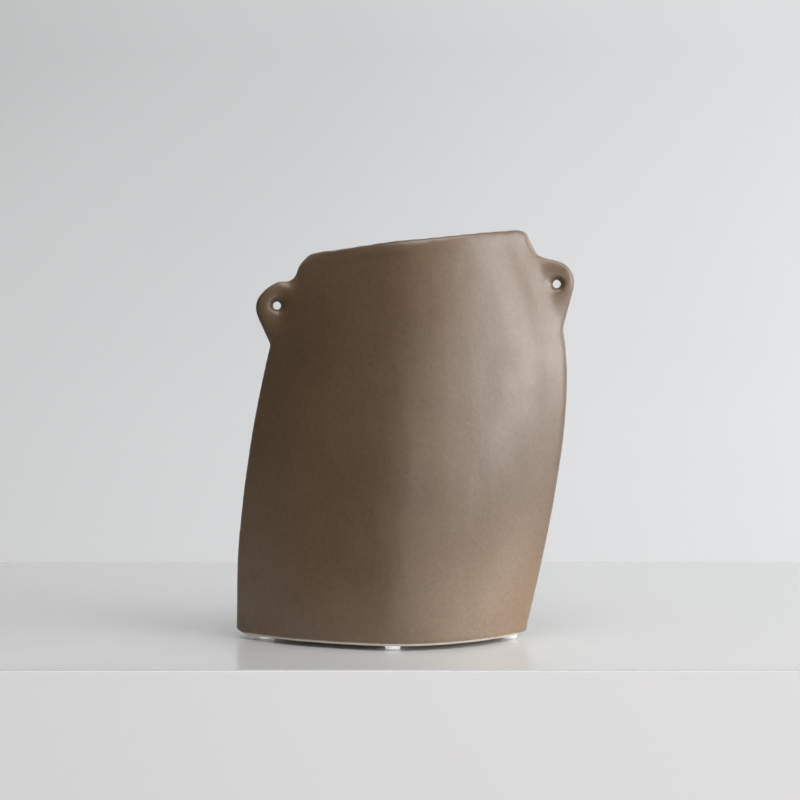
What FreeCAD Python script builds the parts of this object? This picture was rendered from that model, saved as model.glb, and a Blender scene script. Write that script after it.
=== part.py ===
import FreeCAD, Part
import enum
import math
import os

import Sketcher

# Pillow vase of slab-built stoneware. Two slabs meet along flattened side seams and stand on a
# lens-shaped floor slab. The mouth slopes up to the right, a pierced lug is luted on each
# shoulder, thin coils seal the inside joints, and four clear bumpers lift the bare foot.
# Millimetres. +Z is up and the front faces -Y. The origin lies on the surface that the bumpers
# stand on, under the middle of the vase's whole width and depth.

# Driving sizes: alias, value, meaning
SIZES = [
    ("left_reach", 84.25, "from the middle of the whole width to the left wall's widest point"),
    ("right_reach", 80.8, "from the middle of the whole width to the right wall's widest point"),
    ("half_depth", 39.0, "from the seams out to the crown of each slab, at the belly"),
    ("body_height", 201.1, "underside of the floor slab to the high end of the mouth's slope"),
    ("wall", 5.0, "thickness of the two slabs"),
    ("edge_flat", 1.8, "half of the flat along each side edge"),
    ("edge_bevel", 1.6, "bevel beside that flat, across the width"),
    ("edge_bevel_back", 2.1, "bevel beside that flat, from front to back"),
    ("seam_width", 6.0, "side edge to the hollow, along the seam"),
    ("seam_flat", 1.5, "half of the flat inside each seam"),
    ("floor_thickness", 6.0, "floor slab"),
    ("floor_bevel", 1.4, "bevel round the floor slab's lower edge"),
    ("mouth_left_drop", 15.9, "mouth's slope over the left wall's widest point, below its high end"),
    ("mouth_corner_in", 9.8, "right wall's edge at the mouth to where the mouth's corner starts"),
    ("mouth_corner_round", 7.0, "radius of the mouth's right corner"),
    ("mouth_right_drop", 16.6, "corner's fall over the right wall's widest point, below the high end"),
    ("lug_thickness", 9.0, "both lugs, front to back"),
    ("lug_round", 2.8, "rounding of the lugs' edges"),
    ("cord_hole_radius", 2.2, "hole through each lug"),
    ("cord_hole_bevel", 1.7, "softened mouth of each hole"),
    ("left_nose_radius", 12.0, "left lug's round nose"),
    ("left_nose_out", 0.5, "slab's edge to the centre of the left nose, outwards"),
    ("left_nose_drop", 38.9, "centre of the left nose below the mouth's high end"),
    ("left_root_above", 20.4, "left nose to the top of its root, up"),
    ("left_root_above_in", 14.2, "left nose to the top of its root, inwards"),
    ("left_root_below", 29.5, "left nose to the foot of its root, down"),
    ("left_root_below_out", 0.4, "left nose to the foot of its root, outwards"),
    ("right_nose_radius", 10.75, "right lug's round nose"),
    ("right_nose_out", 1.6, "slab's edge to the centre of the right nose, outwards"),
    ("right_nose_drop", 26.1, "centre of the right nose below the mouth's high end"),
    ("right_root_above", 17.6, "right nose to the top of its root, up"),
    ("right_root_above_in", 15.6, "right nose to the top of its root, inwards"),
    ("right_root_below", 42.7, "right nose to the foot of its root, down"),
    ("right_root_below_out", 0.2, "right nose to the foot of its root, outwards"),
    ("coil_width", 7.0, "coil in each side seam, along the width"),
    ("coil_drop", 28.0, "top of the side coils below the mouth's high end"),
    ("floor_coil_width", 6.0, "coil round the floor, at its foot"),
    ("floor_coil_height", 5.0, "coil round the floor, upwards"),
    ("floor_coil_edge", 0.8, "coil round the floor, at its top"),
    ("bumper_radius", 4.0, "clear bumpers"),
    ("bumper_height", 2.5, "clear bumpers"),
    ("bumper_bevel", 1.0, "bevel round the end that each bumper stands on"),
    ("bumper_left_in", 15.0, "left bumper's centre to the floor slab's edge"),
    ("bumper_right_in", 8.1, "right bumper's centre to the floor slab's edge"),
    ("bumper_front_in", 8.4, "front and back bumpers' centres to the floor slab's edge"),
    ("bumper_front_left", 6.0, "front and back bumpers, left of the middle"),
    ("overrun", 2.0, "how far every cutting solid passes what it cuts"),
]

# The slabs' form, level by level. Heights are shares of body_height, and the last one lies
# above the mouth, which is cut afterwards. The other shares belong to left_reach, right_reach,
# half_depth and, for the crown's place right of the middle, right_reach.
HEIGHT_SHARES = [0.00, 0.09, 0.24, 0.41, 0.58, 0.73, 0.84, 0.93, 1.02]
LEFT_SHARES = [0.997, 1.000, 0.984, 0.935, 0.868, 0.790, 0.707, 0.592, 0.443]
RIGHT_SHARES = [0.745, 0.793, 0.876, 0.955, 0.998, 0.986, 0.920, 0.832, 0.802]
DEPTH_SHARES = [0.94, 0.96, 0.985, 1.00, 0.975, 0.925, 0.865, 0.80, 0.74]
CROWN_PLACE_SHARES = [0.00, 0.01, 0.03, 0.045, 0.055, 0.065, 0.075, 0.085, 0.095]

# Control points of a slab's bend, from its crown to its side edge: how far out, and how deep
BEND_OUT_SHARES = [0.50, 0.78, 1.00]
BEND_DEPTH_SHARES = [0.77, 0.43, 0.00]
CROWN_DEPTH_SHARE = 1.115

# Each cord hole's place from the centre of its lug's nose, as shares of the nose's radius
HOLE_OUT_SHARES = {"left": 0.15, "right": 0.21}
HOLE_UP_SHARES = {"left": 0.09, "right": -0.09}

# Two places closer than this count as one, when edges are picked for rounding
SAME_PLACE = 1e-5

UP = FreeCAD.Vector(0, 0, 1)


class At(enum.IntEnum):
    """The point of a line, arc or circle that a constraint holds."""

    START = enum.auto()
    END = enum.auto()
    CENTRE = enum.auto()


doc = FreeCAD.newDocument("PillowVase")
sheet = doc.addObject("Spreadsheet::Sheet", "Sizes")
for row, (alias, value, meaning) in enumerate(SIZES, start=1):
    sheet.set(f"A{row}", alias)
    sheet.set(f"B{row}", str(value))
    sheet.setAlias(f"B{row}", alias)
    sheet.set(f"C{row}", meaning)
doc.recompute()


class Length:
    """A length worked out from the sheet, as a number and as the text that binds to it."""

    def __init__(self, number, text):
        self.number = number
        self.text = text

    def __add__(self, other):
        return Length(self.number + other.number, f"({self.text} + {other.text})")

    def __sub__(self, other):
        return Length(self.number - other.number, f"({self.text} - {other.text})")

    def __mul__(self, share):
        return Length(self.number * share, f"({self.text} * {share})")

    def __neg__(self):
        return Length(-self.number, f"(-{self.text})")


def size(alias):
    return Length(float(sheet.get(alias)), f"Sizes.{alias}")


NOTHING = Length(0.0, "0")
OVERRUN = size("overrun")
FOOT = size("bumper_height")
FLOOR_TOP = FOOT + size("floor_thickness")
MOUTH_TOP = FOOT + size("body_height")


def bind(thing, **lengths):
    """Tie properties of an object to the sheet. Double underscores stand for dots."""
    for name, length in lengths.items():
        thing.setExpression(name.replace("__", "."), length.text)


def fix(sketch, kind, *where, length):
    """Add one dimension to a sketch and tie it to the sheet."""
    index = sketch.addConstraint(Sketcher.Constraint(kind, *where, length.number))
    name = f"size{index}"
    sketch.renameConstraint(index, name)
    sketch.setExpression(f"Constraints.{name}", length.text)


def place(sketch, geometry, point, across, along):
    """Fix one point of a sketch at its distances from the origin, the start of geometry -1."""
    fix(sketch, "DistanceX", -1, At.START, geometry, point, length=across)
    fix(sketch, "DistanceY", -1, At.START, geometry, point, length=along)


def flat_point(across, along):
    return FreeCAD.Vector(across.number, along.number, 0)


def join_ends(sketch, count):
    """Join lines and curves end to start, and the last one to the first."""
    for line in range(count):
        following = (line + 1) % count
        sketch.addConstraint(Sketcher.Constraint("Coincident", line, At.END, following, At.START))


def add_outline(sketch, corners):
    """A closed run of straight lines between bound corners."""
    points = [flat_point(*corner) for corner in corners]
    following = points[1:] + points[:1]
    sketch.addGeometry([Part.LineSegment(*ends) for ends in zip(points, following)], False)
    join_ends(sketch, len(points))
    for line, corner in enumerate(corners):
        place(sketch, line, At.START, *corner)


def on_circle(centre, radius, angle):
    return centre + FreeCAD.Vector(math.cos(angle), math.sin(angle), 0) * radius


def arc(centre, radius, start, end):
    return Part.ArcOfCircle(Part.Circle(centre, UP, radius), start, end)


def touching_angle(point, centre, radius, side):
    """Angle, seen from the centre, of the point where a line from point touches the circle."""
    away = point - centre
    return math.atan2(away.y, away.x) + side * math.acos(radius / away.Length)


# Levels of the slabs' form
def share_at(shares, height_share):
    """A table's share at any height, on a straight line between two levels."""
    for level in range(len(HEIGHT_SHARES) - 1):
        low, high = HEIGHT_SHARES[level], HEIGHT_SHARES[level + 1]
        if height_share <= high:
            part_way = (height_share - low) / (high - low)
            return shares[level] + (shares[level + 1] - shares[level]) * part_way
    return shares[-1]


def share_of_height(height):
    """Share of the body's height at which a place above the surface lies."""
    return (height - FOOT).number / size("body_height").number


def level_height(height_share):
    return FOOT + size("body_height") * height_share


def new_section(name, height):
    section = doc.addObject("Sketcher::SketchObject", name)
    section.Placement = FreeCAD.Placement(UP * height.number, FreeCAD.Rotation())
    bind(section, Placement__Base__z=height)
    return section


def bend_poles(left_end, crown, right_end, end_out, depth):
    """Control points of the front slab's bend, from its left end over the crown to its right."""
    left_side = []
    right_side = []
    for out_share, depth_share in zip(BEND_OUT_SHARES, BEND_DEPTH_SHARES):
        ahead = end_out + (depth - end_out) * depth_share
        left_side.append((crown + (left_end - crown) * out_share, -ahead))
        right_side.append((crown + (right_end - crown) * out_share, -ahead))
    top = end_out + (depth - end_out) * CROWN_DEPTH_SHARE
    return left_side[::-1] + [(crown, -top)] + right_side


def mirrored(points):
    return [(across, -along) for across, along in reversed(points)]


def lens_section(name, height, height_share, seam_inset, wall_inset, edge_points):
    """Outline at one level: two bends, and the straight facets of both side edges.

    The edge points lead from a bend's end to the flat, each given as its distance in from the
    side edge and its distance out from the seam's plane.
    """
    left = size("left_reach") * share_at(LEFT_SHARES, height_share) - seam_inset
    right = size("right_reach") * share_at(RIGHT_SHARES, height_share) - seam_inset
    depth = size("half_depth") * share_at(DEPTH_SHARES, height_share) - wall_inset
    crown = size("right_reach") * share_at(CROWN_PLACE_SHARES, height_share)
    end_in, end_out = edge_points[0]
    front = bend_poles(end_in - left, crown, right - end_in, end_out, depth)
    right_front = [(right - inwards, -out) for inwards, out in edge_points]
    left_back = [(inwards - left, out) for inwards, out in edge_points]

    section = new_section(name, height)
    for poles, edge in (
        (front, right_front + mirrored(right_front)),
        (mirrored(front), left_back + mirrored(left_back)),
    ):
        bend = Part.BSplineCurve()
        bend.buildFromPoles([flat_point(*pole) for pole in poles])
        corners = [flat_point(*point) for point in edge]
        first = section.addGeometry(bend, False)
        section.addGeometry([Part.LineSegment(*ends) for ends in zip(corners, corners[1:])], False)
        for number, corner in enumerate(edge[1:-1], start=1):
            place(section, first + number, At.END, *corner)
    count = section.GeometryCount
    join_ends(section, count)
    for first, poles in ((0, front), (count // 2, mirrored(front))):
        first_pole = section.GeometryCount
        section.exposeInternalGeometry(first)
        for number, pole in enumerate(poles):
            place(section, first_pole + number, At.CENTRE, *pole)
    return section


def outer_section(name, height, height_share):
    bevel = (size("edge_bevel"), size("edge_flat") + size("edge_bevel_back"))
    flat = (NOTHING, size("edge_flat"))
    return lens_section(name, height, height_share, NOTHING, NOTHING, [bevel, flat])


def hollow_section(name, height, height_share, inset):
    """Outline of the hollow, or of a smaller form standing inset from its walls."""
    seam_inset = size("seam_width") + inset
    wall_inset = size("wall") + inset
    flat = (NOTHING, size("seam_flat"))
    return lens_section(name, height, height_share, seam_inset, wall_inset, [flat])


def loft(name, sections):
    form = doc.addObject("Part::Loft", name)
    form.Sections = sections
    form.Solid = True
    form.Ruled = False
    form.MaxDegree = 3
    return form


def block(name, corner, extent):
    """A plain box between bound planes, for cutting the forms apart."""
    solid = doc.addObject("Part::Box", name)
    bind(solid, Length=extent[0], Width=extent[1], Height=extent[2])
    bind(solid, Placement__Base__x=corner[0], Placement__Base__y=corner[1])
    bind(solid, Placement__Base__z=corner[2])
    return solid


def combine(kind, name, base, tool):
    solid = doc.addObject(f"Part::{kind}", name)
    solid.Base = base
    solid.Tool = tool
    return solid


def bevel_edges(name, base, edge_numbers, width):
    solid = doc.addObject("Part::Chamfer", name)
    solid.Base = base
    solid.Edges = [(number, width, width) for number in edge_numbers]
    return solid


# The two master forms: the outside of the body and the hollow inside it
def outer_form():
    sections = []
    for number, share in enumerate(HEIGHT_SHARES):
        sections.append(outer_section(f"OuterLevel{number}", level_height(share), share))
    return loft("OuterForm", sections)


def hollow_form():
    sections = []
    for number, share in enumerate(HEIGHT_SHARES):
        sections.append(hollow_section(f"HollowLevel{number}", level_height(share), share, NOTHING))
    return loft("HollowForm", sections)


FORM_TOP = level_height(HEIGHT_SHARES[-1]) + OVERRUN
BODY_WIDTH = size("left_reach") + size("right_reach") + OVERRUN * 2
BODY_DEPTH = size("half_depth") + OVERRUN
BODY_LEFT = -size("left_reach") - OVERRUN


def band(name, low, high):
    """A slice of the space round the whole body, between two heights."""
    return block(name, (BODY_LEFT, -BODY_DEPTH, low), (BODY_WIDTH, BODY_DEPTH * 2, high - low))


# Floor slab: the whole footprint, with its lower edge softened where the glaze is wiped off
def floor_slab(outside):
    blank = combine("Common", "FloorBlank", outside, band("FloorBand", NOTHING, FLOOR_TOP))
    doc.recompute()
    lower = [
        number
        for number, edge in enumerate(blank.Shape.Edges, start=1)
        if math.isclose(edge.BoundBox.ZMax, FOOT.number, abs_tol=SAME_PLACE)
    ]
    return bevel_edges("FloorSlab", blank, lower, size("floor_bevel").number)


# Mouth: a straight slope, rounded over at its right corner, cut through from front to back
def mouth_waste():
    edge_at_mouth = size("right_reach") * share_at(RIGHT_SHARES, share_of_height(MOUTH_TOP))
    low = (BODY_LEFT, MOUTH_TOP - size("mouth_left_drop"))
    turn = (edge_at_mouth - size("mouth_corner_in"), MOUTH_TOP)
    fallen = (size("right_reach") + OVERRUN, MOUTH_TOP - size("mouth_right_drop"))
    over_right = (fallen[0], FORM_TOP)
    over_left = (low[0], FORM_TOP)
    left_end, corner_start, right_end = (flat_point(*point) for point in (low, turn, fallen))
    along = (corner_start - left_end).normalize()
    down = FreeCAD.Vector(along.y, -along.x, 0)
    radius = size("mouth_corner_round")
    centre = corner_start + down * radius.number
    touch = touching_angle(right_end, centre, radius.number, 1)
    corner_end = on_circle(centre, radius.number, touch)
    sketch = doc.addObject("Sketcher::SketchObject", "MouthProfile")
    upright = FreeCAD.Rotation(FreeCAD.Vector(1, 0, 0), 90)
    sketch.Placement = FreeCAD.Placement(FreeCAD.Vector(0, BODY_DEPTH.number, 0), upright)
    bind(sketch, Placement__Base__y=BODY_DEPTH)
    outline = [
        Part.LineSegment(left_end, corner_start),
        arc(centre, radius.number, touch, math.atan2(-down.y, -down.x)),
        Part.LineSegment(corner_end, right_end),
        Part.LineSegment(right_end, flat_point(*over_right)),
        Part.LineSegment(flat_point(*over_right), flat_point(*over_left)),
        Part.LineSegment(flat_point(*over_left), left_end),
    ]
    sketch.addGeometry(outline, False)
    slope, corner, fall, right_side, lid, left_side = range(len(outline))
    sketch.addConstraint(Sketcher.Constraint("Tangent", slope, At.END, corner, At.END))
    sketch.addConstraint(Sketcher.Constraint("Tangent", corner, At.START, fall, At.START))
    for first, second in ((fall, right_side), (right_side, lid), (lid, left_side), (left_side, slope)):
        sketch.addConstraint(Sketcher.Constraint("Coincident", first, At.END, second, At.START))
    place(sketch, slope, At.START, *low)
    place(sketch, slope, At.END, *turn)
    place(sketch, right_side, At.START, *fallen)
    place(sketch, lid, At.START, *over_right)
    place(sketch, left_side, At.START, *over_left)
    fix(sketch, "Radius", corner, length=radius)
    waste = doc.addObject("Part::Extrusion", "MouthWaste")
    waste.Base = sketch
    waste.DirMode = "Normal"
    waste.Solid = True
    bind(waste, LengthFwd=BODY_DEPTH * 2)
    return waste


# Walls: the outer form less the hollow, the floor and the mouth
def walls(outside, hollow, waste):
    tube = combine("Cut", "WallTube", outside, hollow)
    standing = combine("Common", "WallStanding", tube, band("AboveFloor", FLOOR_TOP, FORM_TOP))
    return combine("Cut", "WallRing", standing, waste)


def half_block(name, start):
    """Everything on one side of the seams."""
    return block(name, (BODY_LEFT, start, NOTHING), (BODY_WIDTH, BODY_DEPTH, FORM_TOP))


# Side coils: rolled clay pressed flat into each side seam, from the floor coil to the mouth
def side_coil(name, hollow, side, edge_alias, edge_shares):
    reach = size("half_depth")
    sections = []
    for number, share in enumerate(HEIGHT_SHARES):
        seam = size(edge_alias) * edge_shares[number] - size("seam_width")
        near = (seam - size("coil_width")) * side
        far = (seam + OVERRUN) * side
        section = new_section(f"{name}Level{number}", level_height(share))
        add_outline(section, [(near, -reach), (far, -reach), (far, reach), (near, reach)])
        sections.append(section)
    strip = loft(f"{name}Strip", sections)
    span = band(f"{name}Span", FLOOR_TOP + size("floor_coil_height"), MOUTH_TOP - size("coil_drop"))
    in_span = combine("Common", f"{name}InSpan", strip, span)
    return combine("Common", name, hollow, in_span)


# Floor coil: a bevelled ring in the corner between the floor and the walls
def floor_coil(hollow):
    coil_top = FLOOR_TOP + size("floor_coil_height")
    filled = combine("Common", "FloorCoilFilled", hollow, band("FloorCoilBand", FLOOR_TOP, coil_top))
    core_sections = [
        hollow_section("FloorCoilFoot", FLOOR_TOP, share_of_height(FLOOR_TOP), size("floor_coil_width")),
        hollow_section("FloorCoilTop", coil_top, share_of_height(coil_top), size("floor_coil_edge")),
    ]
    return combine("Cut", "FloorCoil", filled, loft("FloorCoilCore", core_sections))


# Lugs: a round nose with two straight runs back into the body, pierced for a cord
def origin_plane(body, role):
    return next(plane for plane in body.Origin.OriginFeatures if plane.Role == role)


def body_sketch(body, name):
    sketch = body.newObject("Sketcher::SketchObject", name)
    sketch.AttachmentSupport = [(origin_plane(body, "XZ_Plane"), "")]
    sketch.MapMode = "FlatFace"
    return sketch


def edge_names(shape, wanted):
    return [f"Edge{n}" for n, edge in enumerate(shape.Edges, start=1) if wanted(edge)]


def lug_blank(side_name, side, edge_shares):
    """The lug as it is cut from its slab: padded, pierced and softened."""
    title = side_name.title()
    height = MOUTH_TOP - size(f"{side_name}_nose_drop")
    edge = size(f"{side_name}_reach") * share_at(edge_shares, share_of_height(height))
    reach = (edge + size(f"{side_name}_nose_out")) * side
    radius = size(f"{side_name}_nose_radius")
    above = (reach - size(f"{side_name}_root_above_in") * side, height + size(f"{side_name}_root_above"))
    below = (reach + size(f"{side_name}_root_below_out") * side, height - size(f"{side_name}_root_below"))
    centre, top, foot = (flat_point(*point) for point in ((reach, height), above, below))
    top_angle = touching_angle(top, centre, radius.number, -side)
    foot_angle = touching_angle(foot, centre, radius.number, side)
    body = doc.addObject("PartDesign::Body", f"{title}LugBlank")
    outline = body_sketch(body, f"{title}LugOutline")
    nose = (foot_angle, top_angle) if side > 0 else (top_angle, foot_angle)
    outline.addGeometry([
        Part.LineSegment(top, on_circle(centre, radius.number, top_angle)),
        arc(centre, radius.number, *nose),
        Part.LineSegment(on_circle(centre, radius.number, foot_angle), foot),
        Part.LineSegment(foot, top),
    ], False)
    nose_top, nose_foot = (At.END, At.START) if side > 0 else (At.START, At.END)
    outline.addConstraint([
        Sketcher.Constraint("Tangent", 0, At.END, 1, nose_top),
        Sketcher.Constraint("Tangent", 1, nose_foot, 2, At.START),
        Sketcher.Constraint("Coincident", 2, At.END, 3, At.START),
        Sketcher.Constraint("Coincident", 3, At.END, 0, At.START),
    ])
    fix(outline, "Radius", 1, length=radius)
    place(outline, 1, At.CENTRE, reach, height)
    place(outline, 0, At.START, *above)
    place(outline, 2, At.END, *below)
    pad = body.newObject("PartDesign::Pad", f"{title}LugPad")
    pad.Profile = outline
    pad.Midplane = True
    bind(pad, Length=size("lug_thickness"))
    doc.recompute()

    hole_across = reach + radius * (HOLE_OUT_SHARES[side_name] * side)
    hole_up = height + radius * HOLE_UP_SHARES[side_name]
    bore = body_sketch(body, f"{title}CordHoleOutline")
    hole_centre = flat_point(hole_across, hole_up)
    bore.addGeometry(Part.Circle(hole_centre, UP, size("cord_hole_radius").number), False)
    fix(bore, "Radius", 0, length=size("cord_hole_radius"))
    place(bore, 0, At.CENTRE, hole_across, hole_up)
    hole = body.newObject("PartDesign::Pocket", f"{title}CordHole")
    hole.Profile = bore
    hole.Type = "ThroughAll"
    hole.Midplane = True
    doc.recompute()

    half = size("lug_thickness").number / 2

    def in_a_face(edge):
        flat = math.isclose(edge.BoundBox.YMin, edge.BoundBox.YMax, abs_tol=SAME_PLACE)
        return flat and math.isclose(abs(edge.BoundBox.Center.y), half, abs_tol=SAME_PLACE)

    def is_hole(edge):
        return in_a_face(edge) and edge.isClosed()

    softened = body.newObject("PartDesign::Chamfer", f"{title}HoleMouths")
    softened.Base = (hole, edge_names(hole.Shape, is_hole))
    bind(softened, Size=size("cord_hole_bevel"))
    doc.recompute()

    root = Part.LineSegment(FreeCAD.Vector(foot.x, 0, foot.y), FreeCAD.Vector(top.x, 0, top.y)).toShape()

    def is_free_edge(edge):
        middle = edge.BoundBox.Center
        flat = Part.Vertex(middle.x, 0, middle.z)
        off_root = root.distToShape(flat)[0] > size("lug_round").number / 2
        return in_a_face(edge) and not edge.isClosed() and off_root

    rounded = body.newObject("PartDesign::Fillet", f"{title}LugRounding")
    rounded.Base = (softened, edge_names(softened.Shape, is_free_edge))
    bind(rounded, Radius=size("lug_round"))
    return body


# Bumpers: clear discs with a bevelled end, stuck under the floor slab
def bumper(name, across, back):
    body = doc.addObject("PartDesign::Body", name)
    profile = body_sketch(body, f"{name}Profile")
    radius = size("bumper_radius")
    bevel = size("bumper_bevel")
    height = size("bumper_height")
    add_outline(profile, [
        (NOTHING, NOTHING),
        (radius - bevel, NOTHING),
        (radius, bevel),
        (radius, height),
        (NOTHING, height),
    ])
    turned = body.newObject("PartDesign::Revolution", f"{name}Turned")
    turned.Profile = profile
    turned.ReferenceAxis = (profile, ["V_Axis"])
    turned.Angle = 360
    bind(body, Placement__Base__x=across, Placement__Base__y=back)
    return body


def bumpers():
    """Two on the long axis and two on the short one, each inside the floor slab's edge."""
    left = size("left_reach") * LEFT_SHARES[0] - size("bumper_left_in")
    right = size("right_reach") * RIGHT_SHARES[0] - size("bumper_right_in")
    deep = size("half_depth") * DEPTH_SHARES[0] - size("bumper_front_in")
    middle = -size("bumper_front_left")
    places = {
        "left_bumper": (-left, NOTHING),
        "right_bumper": (right, NOTHING),
        "front_bumper": (middle, -deep),
        "back_bumper": (middle, deep),
    }
    return {node: bumper(node.title().replace("_", ""), *spot) for node, spot in places.items()}


outside = outer_form()
hollow = hollow_form()
waste = mouth_waste()
doc.recompute()

ring = walls(outside, hollow, waste)
nodes = {
    "front_wall": combine("Common", "FrontWall", ring, half_block("FrontHalf", -BODY_DEPTH)),
    "back_wall": combine("Common", "BackWall", ring, half_block("BackHalf", NOTHING)),
    "floor_slab": floor_slab(outside),
    "left_lug": combine("Cut", "LeftLug", lug_blank("left", -1, LEFT_SHARES), outside),
    "right_lug": combine("Cut", "RightLug", lug_blank("right", 1, RIGHT_SHARES), outside),
    "left_seam_coil": side_coil("LeftSeamCoil", hollow, -1, "left_reach", LEFT_SHARES),
    "right_seam_coil": side_coil("RightSeamCoil", hollow, 1, "right_reach", RIGHT_SHARES),
    "floor_seam_coil": floor_coil(hollow),
}
nodes.update(bumpers())
for node, thing in nodes.items():
    thing.Label = node
doc.recompute()

failed = [thing.Name for thing in doc.Objects if "Invalid" in thing.State or "Error" in thing.State]
if failed:
    raise RuntimeError(f"these objects failed: {failed}")
for node, thing in nodes.items():
    if thing.Shape.isNull() or not thing.Shape.isValid() or len(thing.Shape.Solids) != 1:
        raise RuntimeError(f"{node} is not one valid solid")

os.makedirs("parts", exist_ok=True)
for node, thing in nodes.items():
    thing.Shape.exportStep(f"parts/{node}.step")
    box = thing.Shape.optimalBoundingBox(False, False)
    print(
        f"{node}: {thing.Shape.Volume / 1000:.2f} cm3, x {box.XMin:.2f} to {box.XMax:.2f},"
        f" y {box.YMin:.2f} to {box.YMax:.2f}, z {box.ZMin:.2f} to {box.ZMax:.2f}"
    )
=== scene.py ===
# %% [markdown]
# # A pillow vase in satin glaze
#
# The real object is a flat, cushion-shaped stoneware vase. Two slabs of clay meet along their
# side edges, a small pierced lug sits on each shoulder, and the mouth slopes up to the right.
# One satin glaze covers everything down to the foot, so no joint shows from outside. The vase
# stands on four clear bumpers.
#
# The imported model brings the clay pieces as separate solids. This lesson turns the five that the
# glaze runs over into one soft skin, and then finishes skin, inside coils, foot and bumpers.

# %% Load the frame
import math

import bpy
import bmesh
import numpy as np
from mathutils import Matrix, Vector, noise


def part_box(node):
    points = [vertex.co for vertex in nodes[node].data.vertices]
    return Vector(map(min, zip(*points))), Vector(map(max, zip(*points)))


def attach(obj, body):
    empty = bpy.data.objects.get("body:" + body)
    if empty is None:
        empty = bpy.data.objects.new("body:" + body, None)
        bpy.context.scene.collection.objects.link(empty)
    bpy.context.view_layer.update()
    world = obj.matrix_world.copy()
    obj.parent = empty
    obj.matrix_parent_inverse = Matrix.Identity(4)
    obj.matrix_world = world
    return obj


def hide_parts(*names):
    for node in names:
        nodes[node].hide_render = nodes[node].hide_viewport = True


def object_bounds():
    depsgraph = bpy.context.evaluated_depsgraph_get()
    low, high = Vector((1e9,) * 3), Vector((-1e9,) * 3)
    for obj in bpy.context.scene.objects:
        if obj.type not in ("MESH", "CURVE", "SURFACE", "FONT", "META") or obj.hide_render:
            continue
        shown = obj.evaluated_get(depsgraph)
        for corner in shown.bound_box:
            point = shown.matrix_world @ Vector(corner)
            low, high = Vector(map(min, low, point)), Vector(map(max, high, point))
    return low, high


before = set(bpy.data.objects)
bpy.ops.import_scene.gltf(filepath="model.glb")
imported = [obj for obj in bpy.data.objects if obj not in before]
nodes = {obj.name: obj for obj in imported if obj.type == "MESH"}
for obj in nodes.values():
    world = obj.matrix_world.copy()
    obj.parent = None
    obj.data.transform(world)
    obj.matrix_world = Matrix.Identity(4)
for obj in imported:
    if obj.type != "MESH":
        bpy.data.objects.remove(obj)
cad_box = [list(corner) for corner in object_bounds()]
print("solids:", sorted(nodes))

# %% [markdown]
# ## Millimetres and the main places
#
# Blender works in metres here, while a potter thinks in millimetres, so one small value turns the
# one into the other. The places of the foot and the lugs come from the solids themselves. Asking
# for them is better than typing them, because the skin then still fits when a slab is made wider
# or taller. Only the cord holes are typed, as (width, height) places, since a solid's box doesn't
# say where a bore runs through it.

# %% Places on the vase
MM = 0.001

FOOT_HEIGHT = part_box("floor_slab")[0][2]
LEFT_LUG_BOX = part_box("left_lug")
RIGHT_LUG_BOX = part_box("right_lug")
CLAY_NODES = ["front_wall", "back_wall", "floor_slab", "left_lug", "right_lug"]
COIL_NODES = ["left_seam_coil", "right_seam_coil", "floor_seam_coil"]
BUMPER_NODES = ["left_bumper", "right_bumper", "front_bumper", "back_bumper"]
LEFT_HOLE = (-64.0 * MM, 165.8 * MM)
RIGHT_HOLE = (75.8 * MM, 176.5 * MM)


def in_mm(box):
    """A box's corners in millimetres, rounded for reading."""
    return [[round(v / MM, 1) for v in corner] for corner in box]


print("box in mm:", in_mm(cad_box))
print("foot at", round(FOOT_HEIGHT / MM, 2), "mm")

# %% [markdown]
# ## One skin out of five pieces
#
# A glazed pot has no seams left: the potter smears the slabs and lugs together, and the glaze
# fills what the fingers left. A voxel remesh does the same thing. It copies the clay pieces into
# one mesh, then rebuilds the outside of the heap with an even grid of small faces. Bevels would
# round one edge at a time and leave the creases, so the remesh is the better tool here.

# %% Join the clay and remesh it
SKIN_GRID = 0.95 * MM


def joined_clay():
    """A copy of the five clay solids in one mesh."""
    heap = bmesh.new()
    for name in CLAY_NODES:
        heap.from_mesh(nodes[name].data)
    mesh = bpy.data.meshes.new("glazed_body")
    heap.to_mesh(mesh)
    heap.free()
    return mesh


def work_in_modifiers(piece):
    """Turn what the modifiers show into the piece's own mesh."""
    graph = bpy.context.evaluated_depsgraph_get()
    mesh = bpy.data.meshes.new_from_object(piece.evaluated_get(graph))
    piece.modifiers.clear()
    old = piece.data
    piece.data = mesh
    bpy.data.meshes.remove(old)


glazed_body = bpy.data.objects.new("glazed_body", joined_clay())
bpy.context.collection.objects.link(glazed_body)
remesh = glazed_body.modifiers.new("even_grid", "REMESH")
remesh.mode = "VOXEL"
remesh.voxel_size = SKIN_GRID
work_in_modifiers(glazed_body)
print("skin:", len(glazed_body.data.vertices), "points")

# %% [markdown]
# ## Points and edges as arrays
#
# The skin has so many points that walking over them one by one is slow in Python. Blender can
# hand all of them over at once, as one long row of numbers. These short helpers read such rows
# and write them back, so that a later step can treat the whole skin together.

# %% Read and write the mesh


def read_vectors(mesh, what):
    """One row of three numbers for each point."""
    values = np.empty(len(mesh.vertices) * 3)
    mesh.vertices.foreach_get(what, values)
    return values.reshape(-1, 3)


def read_points(mesh):
    return read_vectors(mesh, "co")


def read_normals(mesh):
    return read_vectors(mesh, "normal")


def write_points(mesh, points):
    mesh.vertices.foreach_set("co", points.reshape(-1))
    mesh.update()


def read_ends(mesh):
    """The two points that each edge joins."""
    ends = np.empty(len(mesh.edges) * 2, dtype=np.int64)
    mesh.edges.foreach_get("vertices", ends)
    return ends[0::2], ends[1::2]


print("edges:", len(read_ends(glazed_body.data)[0]))

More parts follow.
